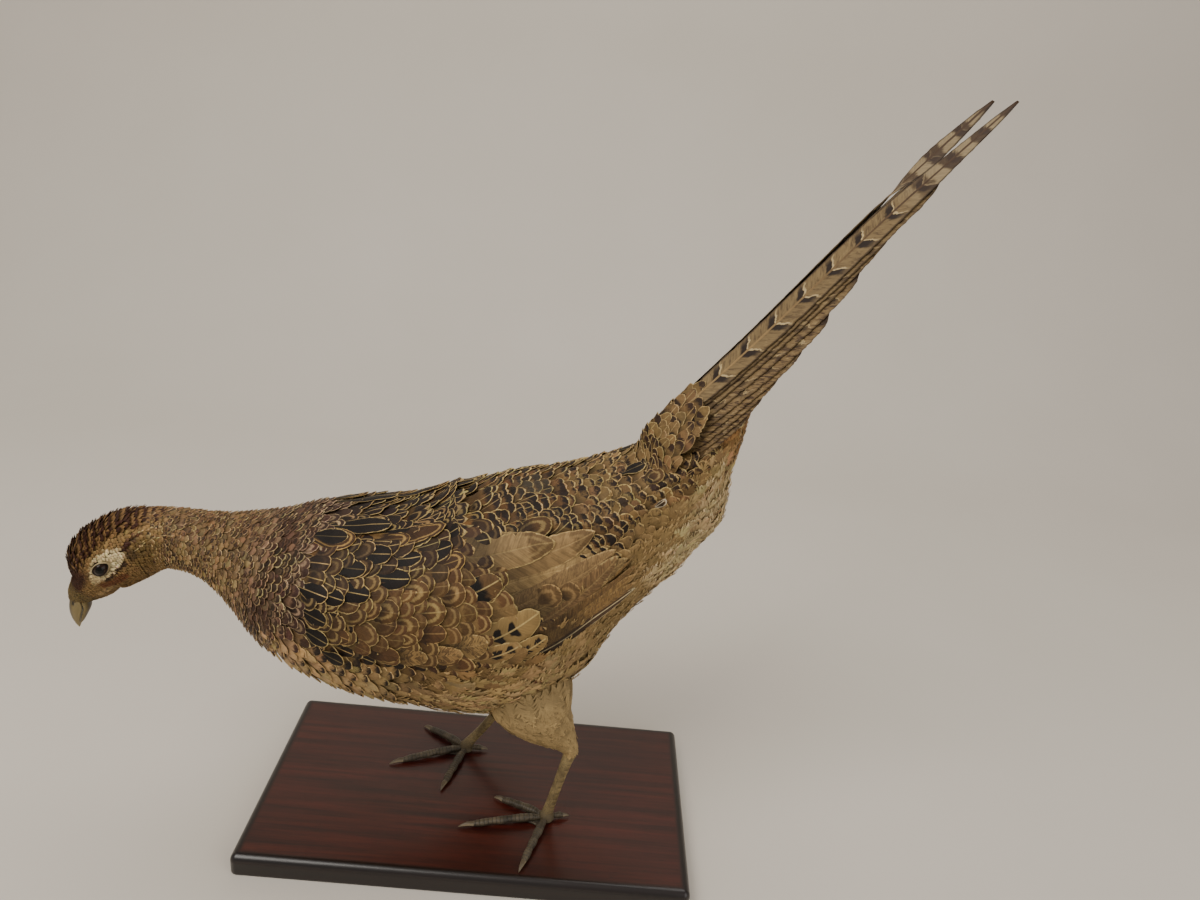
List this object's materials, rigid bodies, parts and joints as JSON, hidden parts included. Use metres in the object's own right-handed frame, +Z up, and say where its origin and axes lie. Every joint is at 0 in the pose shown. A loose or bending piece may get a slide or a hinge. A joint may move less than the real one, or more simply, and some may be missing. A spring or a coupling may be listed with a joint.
{
  "type": "taxidermy hen pheasant on plinth",
  "caption": "Life-size mounted hen pheasant standing with neck stretched forward, head low and long tail raised, on a low rectangular dark wood plinth.",
  "frame": {"origin": "centre of the plinth's flat underside", "axes": "+Z up; +X along the plinth's long side towards the tail; the bird faces -X, turned 8 degrees towards -Y, with its left side towards -Y"},
  "size_m": [0.453, 0.1396, 0.4412],
  "materials": {
    "plumage": "buff and brown scalloped contour feathers, matte",
    "flight_plumage": "folded wing feathers, buff edged with dark centres",
    "tail_feather": "long olive-buff tail feathers with dark and cream bars",
    "bill_horn": "grey-olive horn, slightly glossy",
    "eye": "dark brown glass eye, polished",
    "leg_skin": "dry scaly olive-horn skin",
    "toe_skin": "dry grey-brown scaly skin",
    "claw_horn": "pale horn",
    "plinth_wood": "dark red-brown mahogany stain under satin varnish, near-black edges"
  },
  "bodies": {
    "root": {"plinth": "plinth_wood", "head": "plumage", "eye_left": "eye", "eye_right": "eye", "bill_upper": "bill_horn", "bill_lower": "bill_horn", "neck": "plumage", "trunk": "plumage", "wing_left": "flight_plumage", "wing_right": "flight_plumage", "tail_left_1": "tail_feather", "tail_left_2": "tail_feather", "tail_left_3": "tail_feather", "tail_left_4": "tail_feather", "tail_left_5": "tail_feather", "tail_left_6": "tail_feather", "tail_left_7": "tail_feather", "tail_left_8": "tail_feather", "tail_left_9": "tail_feather", "tail_right_1": "tail_feather", "tail_right_2": "tail_feather", "tail_right_3": "tail_feather", "tail_right_4": "tail_feather", "tail_right_5": "tail_feather", "tail_right_6": "tail_feather", "tail_right_7": "tail_feather", "tail_right_8": "tail_feather", "tail_right_9": "tail_feather", "thigh_left": "plumage", "tarsus_left": "leg_skin", "toe_left_middle": "toe_skin", "claw_left_middle": "claw_horn", "toe_left_inner": "toe_skin", "claw_left_inner": "claw_horn", "toe_left_outer": "toe_skin", "claw_left_outer": "claw_horn", "toe_left_hind": "toe_skin", "claw_left_hind": "claw_horn", "thigh_right": "plumage", "tarsus_right": "leg_skin", "toe_right_middle": "toe_skin", "claw_right_middle": "claw_horn", "toe_right_inner": "toe_skin", "claw_right_inner": "claw_horn", "toe_right_outer": "toe_skin", "claw_right_outer": "claw_horn", "toe_right_hind": "toe_skin", "claw_right_hind": "claw_horn"}
  },
  "joints": []
}
